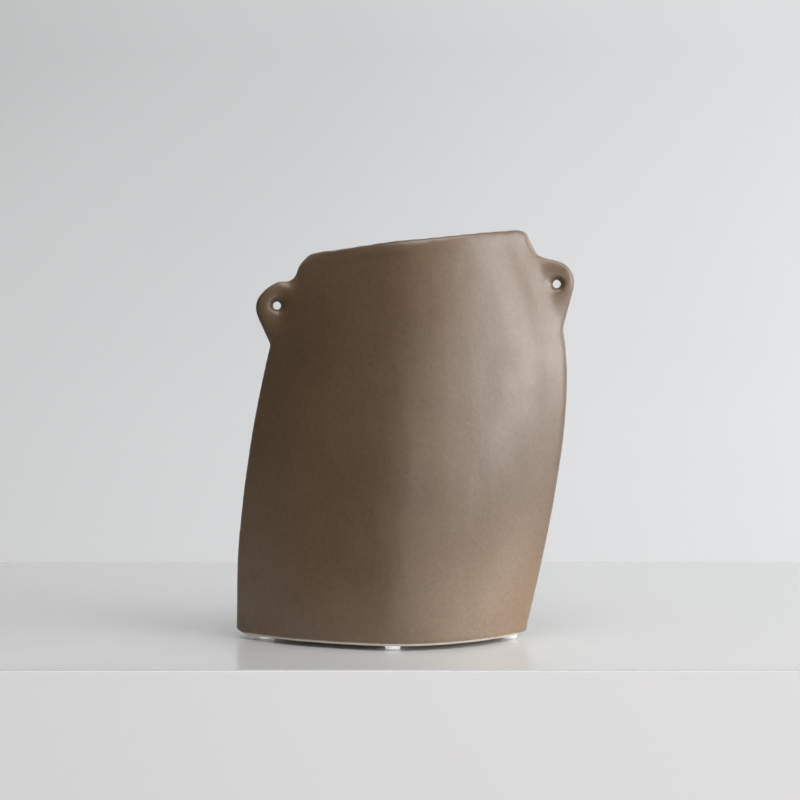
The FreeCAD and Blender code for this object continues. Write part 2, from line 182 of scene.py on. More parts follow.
# %% [markdown]
# ## Keep the pot, drop the crumbs
#
# Where two solids touch, a remesh can leave tiny closed bubbles inside the clay. They never show,
# but they would spoil the mesh. Walking from point to point along the edges finds every
# separate island, and only the largest one stays.

# %% Keep the largest island


def islands(mesh):
    """Which island each point belongs to, as an array of island numbers."""
    first, second = read_ends(mesh)
    label = np.arange(len(mesh.vertices))
    while True:
        low = np.minimum(label[first], label[second])
        new = label.copy()
        np.minimum.at(new, first, low)
        np.minimum.at(new, second, low)
        new = new[new]
        if np.array_equal(new, label):
            return label
        label = new


def keep_largest(piece):
    """Delete every island but the largest, and say how many went."""
    label = islands(piece.data)
    numbers, sizes = np.unique(label, return_counts=True)
    main = numbers[np.argmax(sizes)]
    work = bmesh.new()
    work.from_mesh(piece.data)
    work.verts.ensure_lookup_table()
    crumbs = [work.verts[int(n)] for n in np.flatnonzero(label != main)]
    bmesh.ops.delete(work, geom=crumbs, context="VERTS")
    work.to_mesh(piece.data)
    work.free()
    return len(numbers) - 1


print("bubbles dropped:", keep_largest(glazed_body))

# %% [markdown]
# ## A sponge for clay
#
# Real clay edges are wiped with a wet sponge. Moving each point towards the middle of its
# neighbours wears an edge down in the same way. Plain averaging also shrinks a small shape, so
# most strokes here are followed by a slightly smaller step back, which keeps the volume. A weight
# for each point says how hard the sponge presses there.

# %% Average with the neighbours
TOUCHED_SHARE = 0.001
STROKE_SHARE = 0.6
STEP_BACK_SHARE = 0.9
NO_STEP_BACK = 0
ALL_WAYS = (1, 1, 1)
THROUGH_THE_WALL = (0, 1, 0)


class Patch:
    """The points that a stroke touches, and the neighbours that they are averaged with."""

    def __init__(self, ends, touched):
        first, second = ends
        near = touched[first] | touched[second]
        both = np.concatenate((first[near], second[near]))
        self.points, local = np.unique(both, return_inverse=True)
        self.first, self.second = np.split(local.reshape(-1), 2)
        self.count = np.bincount(local.reshape(-1), minlength=len(self.points))

    def average(self, values):
        """The mean of each point's neighbours."""
        columns = []
        for column in values.T:
            summed = np.bincount(self.first, column[self.second], len(self.count))
            summed += np.bincount(self.second, column[self.first], len(self.count))
            columns.append(summed / self.count)
        return np.stack(columns, axis=1)


def sponge(points, ends, strokes, weight, ways=ALL_WAYS, step_back=STEP_BACK_SHARE):
    """Average, then step back by a share of it, so that edges wear and the volume stays."""
    patch = Patch(ends, weight > TOUCHED_SHARE)
    held = points[patch.points]
    reach = STROKE_SHARE * weight[patch.points][:, None] * np.array(ways)
    for _ in range(strokes):
        held = held + reach * (patch.average(held) - held)
        if step_back:
            held = held - step_back * reach * (patch.average(held) - held)
    points = points.copy()
    points[patch.points] = held
    return points


# %% [markdown]
# ## Distances that fade
#
# A potter's touch has no hard border. Every weight in this lesson is therefore a distance, from a
# lug, a hole, a joint or the lip, that fades from full effect to none over a band. A band is a
# pair of distances: all of the effect up to the first one, and none beyond the second.

# %% Bands and distances
LIP_MIDDLE = 197.0 * MM
LIP_MIDDLE_PLACE = -0.5 * MM
LIP_SLOPE = 0.114


def fall_off(distance, near, far):
    """1 closer than near, 0 beyond far, and a smooth slope between them."""
    t = np.clip((far - distance) / (far - near), 0, 1)
    return t * t * (3 - 2 * t)


def box_distance(points, corners):
    low, high = (np.array(corner) for corner in corners)
    outside = np.maximum(np.maximum(low - points, points - high), 0)
    return np.linalg.norm(outside, axis=1)


def front_distance(points, place):
    """Distance from a (width, height) place, seen from the front."""
    return np.hypot(points[:, 0] - place[0], points[:, 2] - place[1])


def line_distance(points, start, end):
    """Distance from a straight line between two (width, height) places, seen from the front."""
    flat = points[:, (0, 2)]
    start, end = np.array(start), np.array(end)
    along = np.clip((flat - start) @ (end - start) / ((end - start) @ (end - start)), 0, 1)
    return np.linalg.norm(flat - (start + along[:, None] * (end - start)), axis=1)


def lip_height(x):
    """Height of the mouth's slope over a place along the width."""
    return LIP_MIDDLE + LIP_SLOPE * (x - LIP_MIDDLE_PLACE)


def lip_distance(points):
    return np.abs(points[:, 2] - lip_height(points[:, 0]))


lip_rise = lip_height(cad_box[1][0]) - lip_height(cad_box[0][0])
print("the lip's line rises", round(lip_rise / MM, 1), "mm over the width")

# %% [markdown]
# ## Soft edges and creases
#
# A few strokes go over the whole skin and take off the steps of the grid. The creases where a lug
# meets the body take ten times as many. The rims of the holes are left alone there, and so is
# most of the outline seen from the front, which the solids already have right.

# %% Soften the skin
SKIN_STROKES = 14
CREASE_STROKES = 150
LUG_BAND = (1 * MM, 6 * MM)
CREASE_RIM_BAND = (3.5 * MM, 6.5 * MM)
CREASE_OUTLINE_BAND = (1.5 * MM, 4.0 * MM)
OUTLINE_SHARE = 0.08

ends = read_ends(glazed_body.data)
points = read_points(glazed_body.data)
points = sponge(points, ends, SKIN_STROKES, np.ones(len(points)))
near_lugs = np.maximum(
    fall_off(box_distance(points, LEFT_LUG_BOX), *LUG_BAND),
    fall_off(box_distance(points, RIGHT_LUG_BOX), *LUG_BAND),
)
hole_gap = np.minimum(front_distance(points, LEFT_HOLE), front_distance(points, RIGHT_HOLE))
off_rims = 1 - fall_off(hole_gap, *CREASE_RIM_BAND)
off_outline = 1 - fall_off(np.abs(points[:, 1]), *CREASE_OUTLINE_BAND)
crease_weight = near_lugs * off_rims * (OUTLINE_SHARE + (1 - OUTLINE_SHARE) * off_outline)
points = sponge(points, ends, CREASE_STROKES, crease_weight)
print("softened; creases took", int((crease_weight > 0.5).sum()), "points")

# %% [markdown]
# ## Clay smeared into the lugs
#
# A lug is luted on, and a thumb then drags clay from it over the body until no step is left. Only
# the depth of the surface is averaged here, front and back by themselves, because the outline
# seen from the front is already right. The bore and its rim are kept out of it.

# %% Smear the lugs into the body
SMEAR_STROKES = 120
LEFT_JOINT = ((-57.5 * MM, 180 * MM), (-69 * MM, 151 * MM))
RIGHT_JOINT = ((68 * MM, 190 * MM), (77.5 * MM, 158 * MM))
SMEAR_BAND = (4 * MM, 12 * MM)
SMEAR_RIM_BAND = (4.2 * MM, 6.5 * MM)
SMEAR_OUTLINE_BAND = (2.2 * MM, 5.0 * MM)

joint_gap = np.minimum(line_distance(points, *LEFT_JOINT), line_distance(points, *RIGHT_JOINT))
smear = fall_off(joint_gap, *SMEAR_BAND) * (1 - fall_off(hole_gap, *SMEAR_RIM_BAND))
smear = smear * (1 - fall_off(np.abs(points[:, 1]), *SMEAR_OUTLINE_BAND))
points = sponge(points, ends, SMEAR_STROKES, smear, THROUGH_THE_WALL, NO_STEP_BACK)
print("smeared", int((smear > 0.5).sum()), "points")

# %% [markdown]
# ## A round lip
#
# The slabs are cut square at the top, and the cut is then wiped round with a wet leather. The lip
# takes plain averaging as well, or the little steps of the grid would show along it. The wiping
# lowers it, so it is measured before and after, and lifted back to just under its old height.

# %% Wipe the lip round
LIP_STROKES = 60
LIP_TOP_STROKES = 26
LIP_BAND = (3 * MM, 9 * MM)
LIP_TOP_BAND = (2.5 * MM, 6.5 * MM)
LIP_WEAR = 0.15 * MM
CREST_POINTS = 400


def crest_height(points):
    """How far the highest points of the lip stand above its sloping line."""
    above = np.sort(points[:, 2] - lip_height(points[:, 0]))
    return above[-CREST_POINTS:].mean()


lip_edge = fall_off(lip_distance(points), *LIP_BAND)
crest = crest_height(points)
points = sponge(points, ends, LIP_STROKES, lip_edge)
lip_top = fall_off(lip_distance(points), *LIP_TOP_BAND)
points = sponge(points, ends, LIP_TOP_STROKES, lip_top, ALL_WAYS, NO_STEP_BACK)
lift = crest - crest_height(points) - LIP_WEAR
points[:, 2] += lift * lip_edge
print("lip lifted back by", round(lift / MM, 2), "mm")

# %% [markdown]
# ## The outline at the neck
#
# Pushing soft clay at one place moves its neighbourhood with it, so each push here fades out over
# a few millimetres. The right corner of the mouth is crisp, and the notch above each lug is deep
# and soft.

# %% Push the neck into place
# A place, a band and a shift for each push, in millimetres, with width before height.
PUSHES = {
    "side of the mouth's corner": ((66.0, 198.8), (0.5, 6.5), (-2.2, 0)),
    "top of the mouth's corner": ((62.5, 201.5), (0.5, 3.5), (-0.4, -0.3)),
    "right notch": ((69.0, 190.5), (1.0, 9.0), (-0.7, -0.6)),
    "left notch": ((-57.0, 180.0), (0.5, 7.5), (0.2, -2.3)),
    "top of the left lug": ((-72.0, 174.0), (1.0, 7.0), (0.4, -0.3)),
    "left end of the lip": ((-47.5, 191.5), (1.0, 7.0), (0, -0.6)),
}


def pushed(points, place, band, shift):
    """Move the clay round a (width, height) place by a (width, height) shift."""
    place, band, shift = (np.array(pair) * MM for pair in (place, band, shift))
    strength = fall_off(front_distance(points, place), *band)
    return points + strength[:, None] * np.array([shift[0], 0, shift[1]])


for place, band, shift in PUSHES.values():
    points = pushed(points, place, band, shift)
print("pushed:", ", ".join(PUSHES))

# %% [markdown]
# ## The foot
#
# A heavy wet pot settles on its foot. The rim of the floor squashes and sags by a hair, and the
# two ends, where least weight rests, turn up a little.

# %% Settle the foot
SQUASH_SHARE = 0.4
SQUASH_BAND = (2 * MM, 6 * MM)
SAG_DEPTH = 0.4 * MM
SAG_BAND = (1.5 * MM, 9 * MM)
FOOT_RIM = 2 * MM
END_HEIGHT_BAND = (2 * MM, 9 * MM)
LEFT_END_BAND = (0.5 * MM, 8 * MM)
RIGHT_END_BAND = (0.5 * MM, 7 * MM)
LEFT_END_LIFT = 1.5 * MM
RIGHT_END_LIFT = 0.7 * MM

foot_start = cad_box[0][0]
foot_stop = points[points[:, 2] < FOOT_HEIGHT + FOOT_RIM, 0].max()
left_end = fall_off(points[:, 0] - foot_start, *LEFT_END_BAND)
right_end = fall_off(foot_stop - points[:, 0], *RIGHT_END_BAND)
above_floor = points[:, 2] - FOOT_HEIGHT
end_lift = LEFT_END_LIFT * left_end**2 + RIGHT_END_LIFT * right_end**2
points[:, 2] -= SQUASH_SHARE * above_floor * fall_off(above_floor, *SQUASH_BAND)
points[:, 2] -= SAG_DEPTH * fall_off(above_floor, *SAG_BAND)
points[:, 2] += fall_off(above_floor, *END_HEIGHT_BAND) * end_lift
write_points(glazed_body.data, points)
print("skin from", round(points[:, 2].min() / MM, 1), "to", round(points[:, 2].max() / MM, 1), "mm")

# %% [markdown]
# ## The potter's hands
#
# A slab pot is never perfectly even. Pressing and paddling leave shallow dents a few centimetres
# wide, with finer ones over them. Noise gives the same dents every time the file runs. They are
# only measured here, as a height for each point, and they keep off the foot and the cord holes.

# %% Dents
DENT_HEIGHT = 0.60 * MM
DENT_WIDTH = 30 * MM
DENT_STRETCH = 1.7
DENT_SEED = 3.1
FINE_HEIGHT = 0.10 * MM
FINE_WIDTH = 9 * MM
FINE_STRETCH = 2.2
FINE_SEED = 7.7
CALM_FOOT_BAND = (2 * MM, 14 * MM)
CALM_HOLE_BAND = (4 * MM, 9 * MM)


def hand_marks(points):
    """Dent height at each point. Stretched upwards, because slabs are smoothed from foot to lip."""
    marks = np.empty(len(points))
    tall_dent = DENT_STRETCH * DENT_WIDTH
    tall_fine = FINE_STRETCH * FINE_WIDTH
    for number, (x, y, z) in enumerate(points):
        broad = noise.noise(Vector((x / DENT_WIDTH, y / DENT_WIDTH + DENT_SEED, z / tall_dent)))
        fine = noise.noise(Vector((x / FINE_WIDTH + FINE_SEED, y / FINE_WIDTH, z / tall_fine)))
        marks[number] = DENT_HEIGHT * broad + FINE_HEIGHT * fine
    return marks


off_foot = 1 - fall_off(points[:, 2] - FOOT_HEIGHT, *CALM_FOOT_BAND)
off_holes = 1 - fall_off(hole_gap, *CALM_HOLE_BAND)
marks = hand_marks(points) * off_foot * off_holes
print("dents up to", round(np.abs(marks).max() / MM, 2), "mm")

# %% [markdown]
# ## A palm and two pinches
#
# One broad press of the palm lies on the right of the front, and beside each side seam runs the
# shallow groove that pinching the slabs together left. All together these marks stay within a
# millimetre, so the outline still fits the photograph. Each point then moves along its normal,
# which is the direction that a finger would push it in.

# %% Palm and pinches
PALM_PLACE = (37 * MM, 125 * MM)
PALM_HALF_SIZE = (30 * MM, 50 * MM)
PALM_DEPTH = 0.9 * MM
PINCH_PLACE = 11 * MM
PINCH_WIDTH = 7 * MM
PINCH_DEPTH = 0.6 * MM
PINCH_LEFT_SHARE = 0.25
PINCH_RISE_BAND = (45 * MM, 155 * MM)
PINCH_LIP_BAND = (3 * MM, 20 * MM)
PINCH_LIP_LOSS = 0.5


def palm_press(points):
    """1 in the middle of an oval on the front face, falling to 0 at its rim."""
    across = (points[:, 0] - PALM_PLACE[0]) / PALM_HALF_SIZE[0]
    up = (points[:, 2] - PALM_PLACE[1]) / PALM_HALF_SIZE[1]
    return fall_off(np.hypot(across, up), 0, 1) * (points[:, 1] < 0)


def seam_pinch(points):
    """1 along the middle of the grooves beside the side seams, less near the lip and the foot."""
    groove = fall_off(np.abs(np.abs(points[:, 1]) - PINCH_PLACE), 0, PINCH_WIDTH)
    risen = 1 - fall_off(points[:, 2], *PINCH_RISE_BAND)
    return groove * risen * (1 - PINCH_LIP_LOSS * fall_off(lip_distance(points), *PINCH_LIP_BAND))


normals = read_normals(glazed_body.data)
outside = normals[:, 1] * points[:, 1] > 0
pinch_depth = np.where(points[:, 0] > 0, PINCH_DEPTH, PINCH_LEFT_SHARE * PINCH_DEPTH)
marks -= PALM_DEPTH * palm_press(points) * outside
marks -= pinch_depth * seam_pinch(points) * outside
points = points + normals * marks[:, None]
print("marks from", round(marks.min() / MM, 2), "to", round(marks.max() / MM, 2), "mm")

# %% [markdown]
# ## A lip that wanders
#
# No hand cuts a slab quite straight, so the lip rises and dips a little along its way. Noise that
# changes only along the vase's width and depth moves the inner and the outer edge almost alike,
# and the movement fades out below the rim.

# %% Let the lip wander
WANDER_HEIGHT = 0.35 * MM
WANDER_WIDTH = 21 * MM
WANDER_DEPTH = 30 * MM
WANDER_SEED = 5.5
WANDER_BAND = (3 * MM, 14 * MM)


def drift(points, width, depth, seed):
    """Slow noise along the vase's width and depth, the same at every height."""
    return np.array([noise.noise(Vector((x / width, y / depth, seed))) for x, y, _ in points])


lip_wander = drift(points, WANDER_WIDTH, WANDER_DEPTH, WANDER_SEED)
points[:, 2] += WANDER_HEIGHT * fall_off(lip_distance(points), *WANDER_BAND) * lip_wander
write_points(glazed_body.data, points)
glazed_body.data.shade_smooth()
print("lip wanders by up to", round(WANDER_HEIGHT * np.abs(lip_wander).max() / MM, 2), "mm")

# %% [markdown]
# ## Fingertip dimples round the cord holes
#
# Each lug was pierced with a rod while the clay was soft, and a fingertip pressed the rim of the
# hole back. The dimple is a shallow bowl nearly three times as wide as the hole. Pulling the
# points near the hole towards the lug's middle plane makes it and leaves the bore's width alone.

# %% Press the dimples
DIMPLE_BAND = (1.5 * MM, 6.0 * MM)
DIMPLE_DEPTH = 0.7 * MM
LUG_HALF_ROOM = 6 * MM


def press_dimple(points, hole):
    depth = DIMPLE_DEPTH * fall_off(front_distance(points, hole), *DIMPLE_BAND)
    on_lug = np.abs(points[:, 1]) < LUG_HALF_ROOM
    points[:, 1] -= np.where(on_lug, np.sign(points[:, 1]) * depth, 0)


for hole in (LEFT_HOLE, RIGHT_HOLE):
    press_dimple(points, hole)
write_points(glazed_body.data, points)
print("dimples pressed", DIMPLE_DEPTH / MM, "mm deep on each side")

# %% [markdown]
# ## Nodes for a glaze
#
# Base colour, roughness and bump of everything here come from noise in the object's own space, so
# nothing slides when the camera moves. The helpers below make a node or two each and wire them
# up, and the finishes further down then read like a list of what the potter put on.

# %% Noise and colour ramps


def new_material(name):
    material = bpy.data.materials.new(name)
    material.use_nodes = True
    tree = material.node_tree
    return material, tree, tree.nodes["Principled BSDF"]


def solid_noise(tree, size, detail=3.0, roughness=0.55):
    """Noise in the object's own space, with blotches about this size in metres."""
    place = tree.nodes.new("ShaderNodeTexCoord")
    field = tree.nodes.new("ShaderNodeTexNoise")
    field.inputs["Scale"].default_value = 1 / size
    field.inputs["Detail"].default_value = detail
    field.inputs["Roughness"].default_value = roughness
    tree.links.new(place.outputs["Object"], field.inputs["Vector"])
    return field.outputs["Fac"]


def grey(value):
    return (value, value, value)


def ramp(tree, value, stops):
    """Colours or greys spread over a value's range."""
    node = tree.nodes.new("ShaderNodeValToRGB")
    node.color_ramp.elements[0].position = stops[0][0]
    node.color_ramp.elements[0].color = (*stops[0][1], 1)
    node.color_ramp.elements[1].position = stops[-1][0]
    node.color_ramp.elements[1].color = (*stops[-1][1], 1)
    for position, colour in stops[1:-1]:
        node.color_ramp.elements.new(position).color = (*colour, 1)
    tree.links.new(value, node.inputs["Fac"])
    return node.outputs["Color"]


# %% [markdown]
# ## Putting layers together
#
# Glaze is a stack of layers, and each one lies over the last by some share. The mixing helper
# takes a plain value or another node's output for each of its three inputs, so one helper serves
# for even layers and for layers that follow the mesh.

# %% Layers and bumps
# A mix node has a socket for each kind of value, so its colour sockets are found by number.
MIX_SHARE = 0
MIX_FIRST = 6
MIX_SECOND = 7
MIX_RESULT = 2


def mixed(tree, share, first, second, blend="MIX"):
    """Two colours blended by a share. Each of the three can be a value or another node's output."""
    node = tree.nodes.new("ShaderNodeMix")
    node.data_type = "RGBA"
    node.blend_type = blend
    for socket, value in ((MIX_SHARE, share), (MIX_FIRST, first), (MIX_SECOND, second)):
        if isinstance(value, bpy.types.NodeSocket):
            tree.links.new(value, node.inputs[socket])
        elif socket == MIX_SHARE:
            node.inputs[socket].default_value = value
        else:
            node.inputs[socket].default_value = (*value, 1)
    return node.outputs[MIX_RESULT]


def math_node(tree, operation, *values):
    node = tree.nodes.new("ShaderNodeMath")
    node.operation = operation
    for number, value in enumerate(values):
        if isinstance(value, bpy.types.NodeSocket):
            tree.links.new(value, node.inputs[number])
        else:
            node.inputs[number].default_value = value
    return node.outputs[0]


def roughen(tree, shader, height, strength, distance):
    """Let a height field shade the surface as fine bumps."""
    node = tree.nodes.new("ShaderNodeBump")
    node.inputs["Strength"].default_value = strength
    node.inputs["Distance"].default_value = distance
    tree.links.new(height, node.inputs["Height"])
    tree.links.new(node.outputs["Normal"], shader.inputs["Normal"])


def read_attribute(tree, name):
    node = tree.nodes.new("ShaderNodeAttribute")
    node.attribute_name = name
    return node.outputs["Fac"]


# %% [markdown]
# ## Telling lip and foot from the rest
#
# The glaze breaks brown along the lip. There and down the right neck it is also darkened as
# painted shade of the rounded edges. It stops a little above the foot. Low on the right its colour
# is lifted paler as painted light, standing in for the shelf's bounce light and the window's sheen.
# Three point attributes carry that. An attribute is painted once from the mesh and then travels
# with it, which a height test in the shader would not.

# %% Paint lip, foot and painted light
# Glaze break and painted shade: bands of darker brown along the lip and down the right neck.
LIP_BREAK_AND_SHADE_BAND = (1.5 * MM, 2.9 * MM)
NECK_CORNER = (60.5 * MM, 203.1 * MM)
NECK_SLANT = (0.848, 0.530)
NECK_BREAK_AND_SHADE_BAND = (1.3 * MM, 2.5 * MM)
NECK_START_BAND = (188 * MM, 192 * MM)
BARE_BAND = (0.7 * MM, 1.1 * MM)
BARE_RAGGED = 0.15 * MM
BARE_RAGGED_WIDTH = 7 * MM
BARE_SEED = 1.7
# Painted light: where the paler lift goes, low on the right above the foot.
PAINTED_LIGHT_HEIGHT_BAND = (4 * MM, 75 * MM)
PAINTED_LIGHT_WIDTH_BAND = (0, 70 * MM)


def paint(mesh, name, values):
    attribute = mesh.attributes.new(name, "FLOAT", "POINT")
    attribute.data.foreach_set("value", values.astype(np.float32))


def lip_break_and_shade(points):
    """Share of the glaze break and painted shade: along the lip, and down the slanted neck on its
    right.
    """
    x, z = points[:, 0], points[:, 2]
    neck_gap = NECK_SLANT[0] * (NECK_CORNER[0] - x) + NECK_SLANT[1] * (NECK_CORNER[1] - z)
    on_neck = 1 - fall_off(z, *NECK_START_BAND)
    neck = on_neck * fall_off(neck_gap, *NECK_BREAK_AND_SHADE_BAND)
    return np.maximum(fall_off(lip_height(x) - z, *LIP_BREAK_AND_SHADE_BAND), neck)


ragged = drift(points, BARE_RAGGED_WIDTH, BARE_RAGGED_WIDTH, BARE_SEED)
foot_gap = points[:, 2] - FOOT_HEIGHT + BARE_RAGGED * ragged
painted_light_on_right = 1 - fall_off(points[:, 0], *PAINTED_LIGHT_WIDTH_BAND)
lip_break_and_shade_share = lip_break_and_shade(points)
foot_share = fall_off(foot_gap, *BARE_BAND)
# Lip share: glaze break, and painted shade of the rounded lip and neck edges.
paint(glazed_body.data, "lip", lip_break_and_shade_share)
paint(glazed_body.data, "foot", foot_share)
# Painted light: the lower right is lifted paler, standing in for bounce light from the shelf and
# the window's sheen.
paint(glazed_body.data, "painted_light_low_right", fall_off(foot_gap, *PAINTED_LIGHT_HEIGHT_BAND) * painted_light_on_right)
print("lip points:", int((lip_break_and_shade_share > 0.5).sum()), "foot points:", int((foot_share > 0.5).sum()))

# %% [markdown]
# ## A satin glaze
#
# The glaze is a warm taupe, neither matt nor glossy: a broad, soft highlight rolls over the front.
# Close up it has a fine speckle and slow clouds of lighter and darker taupe. It breaks thin, warm
# and brown where it runs off an edge, as on the lip, and there the colour is also darkened as
# painted shade. The bare clay at the foot is pale.

# %% The glaze's colours
GLAZE_MID = (0.172, 0.1080, 0.0600)
GLAZE_LIGHT = (0.184, 0.1180, 0.0680)
GLAZE_DARK = (0.158, 0.0970, 0.0525)
# Glaze break and painted shade: the darker brown along the lip and down the right neck.
GLAZE_BREAK_AND_SHADE = (0.140, 0.0840, 0.0450)
# Painted light: a paler lift low on the right, standing in for bounce light from the shelf and the
# window's sheen.
PAINTED_LIGHT_LIFT = (1.65, 1.70, 1.76)
BARE_CLAY = (0.74, 0.66, 0.55)
MOTTLE_DARK = (0.86, 0.85, 0.83)
MOTTLE_LIGHT = (1.1, 1.1, 1.1)
MOTTLE_SHARE = 0.8
SPECK = (0.62, 0.58, 0.54)
SPECK_SHARE = 0.6
CLOUD_SIZE = 60 * MM
MOTTLE_SIZE = 2.2 * MM
SPECK_SIZE = 0.8 * MM


def glaze_colour(tree):
    """Clouds, mottle and specks, then painted light low on the right, the lip's break and painted
    shade, and the bare clay over them.
    """
    clouds = ramp(
        tree,
        solid_noise(tree, CLOUD_SIZE, 4),
        [(0.34, GLAZE_DARK), (0.5, GLAZE_MID), (0.66, GLAZE_LIGHT)],
    )
    mottle = ramp(
        tree,
        solid_noise(tree, MOTTLE_SIZE, 3, 0.6),
        [(0.30, MOTTLE_DARK), (0.70, MOTTLE_LIGHT)],
    )
    specks = ramp(tree, solid_noise(tree, SPECK_SIZE, 2, 0.7), [(0.28, SPECK), (0.46, grey(1))])
    body = mixed(tree, MOTTLE_SHARE, clouds, mottle, "MULTIPLY")
    body = mixed(tree, SPECK_SHARE, body, specks, "MULTIPLY")
    # Painted light: the colour lifted paler low on the right.
    painted_light_low_right = mixed(tree, 1, body, PAINTED_LIGHT_LIFT, "MULTIPLY")
    with_painted_light = mixed(tree, read_attribute(tree, "painted_light_low_right"), body, painted_light_low_right)
    # Glaze break and painted shade along the lip and the right neck.
    with_lip_break_and_shade = mixed(tree, read_attribute(tree, "lip"), with_painted_light, GLAZE_BREAK_AND_SHADE)
    return mixed(tree, read_attribute(tree, "foot"), with_lip_break_and_shade, BARE_CLAY)


# %% [markdown]
# ## The feel of the glaze
#
# A satin glaze is a little smoother in some places than in others, and its surface is not quite
# level: it has the fine texture of orange peel with a slower ripple under it. The bare clay at
# the foot is dry and rough. With the feel added, the finish goes onto the skin, and the skin
# takes the place of the clay solids.

# %% The satin glaze
SHEEN_SIZE = 18 * MM
SHEEN_SMOOTH = 0.37
SHEEN_ROUGH = 0.45
CLAY_ROUGH = 0.85
PEEL_SIZE = 1.6 * MM
PEEL_STRENGTH = 0.16
PEEL_HEIGHT = 0.25 * MM
RIPPLE_SIZE = 5 * MM
RIPPLE_SHARE = 1.4
GLAZE_IOR = 1.8


def satin_glaze():
    material, tree, shader = new_material("satin_taupe_glaze")
    tree.links.new(glaze_colour(tree), shader.inputs["Base Color"])
    sheen_range = [(0.3, grey(SHEEN_SMOOTH)), (0.7, grey(SHEEN_ROUGH))]
    sheen = ramp(tree, solid_noise(tree, SHEEN_SIZE, 3), sheen_range)
    rough = mixed(tree, read_attribute(tree, "foot"), sheen, grey(CLAY_ROUGH))
    tree.links.new(rough, shader.inputs["Roughness"])
    ripple = math_node(tree, "MULTIPLY", solid_noise(tree, RIPPLE_SIZE, 2), RIPPLE_SHARE)
    orange_peel = math_node(tree, "ADD", solid_noise(tree, PEEL_SIZE, 2), ripple)
    roughen(tree, shader, orange_peel, PEEL_STRENGTH, PEEL_HEIGHT)
    shader.inputs["IOR"].default_value = GLAZE_IOR
    return material


glazed_body.data.materials.clear()
glazed_body.data.materials.append(satin_glaze())
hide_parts(*CLAY_NODES)
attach(glazed_body, "root")
print("one skin now stands for", len(CLAY_NODES), "clay solids")

# %% [markdown]
# ## Coils inside the seams
#
# The coils are pressed into the seams from inside and glazed with the rest, so they take the same
# glaze colours. Their solids already have the right shape, and a bevel softens their edges.

# %% Finish the coils
COIL_EDGE = 0.8 * MM
COIL_EDGE_ANGLE = 40


def inner_glaze():
    material, tree, shader = new_material("inner_glaze")
    clouds = ramp(tree, solid_noise(tree, 30 * MM, 3), [(0.36, GLAZE_DARK), (0.64, GLAZE_MID)])
    tree.links.new(clouds, shader.inputs["Base Color"])
    shader.inputs["Roughness"].default_value = 0.42
    roughen(tree, shader, solid_noise(tree, 4 * MM, 3), 0.25, 0.3 * MM)
    return material


def give(piece, material):
    """Put one material on every slot of a solid."""
    if not piece.material_slots:
        piece.data.materials.append(material)
    for held in piece.material_slots:
        held.link = "OBJECT"
        held.material = material


coil_glaze = inner_glaze()
for name in COIL_NODES:
    give(nodes[name], coil_glaze)
    soften = nodes[name].modifiers.new("soft_edges", "BEVEL")
    soften.width = COIL_EDGE
    soften.segments = 2
    soften.limit_method = "ANGLE"
    soften.angle_limit = math.radians(COIL_EDGE_ANGLE)
print("coils:", len(COIL_NODES))

# %% [markdown]
# ## Clear bumpers
#
# A bumper is a small clear silicone dome. It is made by turning a short profile. It is given a
# faint pale glow, painted light that stands in for the light clear silicone gathers from all round
# and lets out again under the dark foot.

# %% The clear silicone


def clear_silicone():
    material, tree, shader = new_material("clear_silicone")
    shader.inputs["Base Color"].default_value = (0.96, 0.97, 0.98, 1)
    shader.inputs["Roughness"].default_value = 0.25
    shader.inputs["IOR"].default_value = 1.41
    shader.inputs["Transmission Weight"].default_value = 0.20
    # Painted light: a faint pale glow standing in for light gathered by the clear silicone.
    shader.inputs["Emission Color"].default_value = (0.88, 0.94, 1.0, 1)
    shader.inputs["Emission Strength"].default_value = 0.32
    roughen(tree, shader, solid_noise(tree, 1.2 * MM, 2), 0.08, 0.1 * MM)
    return material


silicone = clear_silicone()
print("finish:", silicone.name)

# %% [markdown]
# ## A dome's outline
#
# The dome stands on a flat, curves up through a quarter of an ellipse and ends in a short
# straight side below its glued top. Only the right half of that outline is needed, as pairs of
# radius and height.

# %% The dome's outline
FLAT_SHARE = 0.8
ROUND_SHARE = 0.8
ROUND_STEPS = 8


def dome_profile(radius, height):
    """Radius and height of the dome's outline, from the flat it stands on up to its glued top."""
    flat = FLAT_SHARE * radius
    outline = [(0.0, 0.0), (flat, 0.0)]
    for step in range(1, ROUND_STEPS + 1):
        turn = step / ROUND_STEPS * math.pi / 2
        across = flat + (radius - flat) * math.sin(turn)
        outline.append((across, ROUND_SHARE * height * (1 - math.cos(turn))))
    outline.append((radius, height))
    outline.append((0.0, height))
    return outline


# %% [markdown]
# ## Turning the bumpers
#
# The half outline, swept once round an upright axis, gives the whole dome. Each point of it
# becomes a ring, a point on the axis stays a single point, and faces join each ring to the next.

# %% Turn the bumpers
TURN_STEPS = 40


def ring(work, foot, radius, height):
    """A circle of points round the axis, or one point on it."""
    if radius == 0:
        return [work.verts.new((foot.x, foot.y, foot.z + height))]
    points = []
    for step in range(TURN_STEPS):
        turn = 2 * math.pi * step / TURN_STEPS
        across = radius * math.cos(turn)
        along = radius * math.sin(turn)
        points.append(work.verts.new((foot.x + across, foot.y + along, foot.z + height)))
    return points


def bridge(work, lower, upper):
    """Faces between a ring and the next one, with a fan where one of them is a single point."""
    for step in range(TURN_STEPS):
        following = (step + 1) % TURN_STEPS
        if len(lower) == 1:
            work.faces.new((lower[0], upper[following], upper[step]))
        elif len(upper) == 1:
            work.faces.new((lower[step], lower[following], upper[0]))
        else:
            work.faces.new((lower[step], lower[following], upper[following], upper[step]))


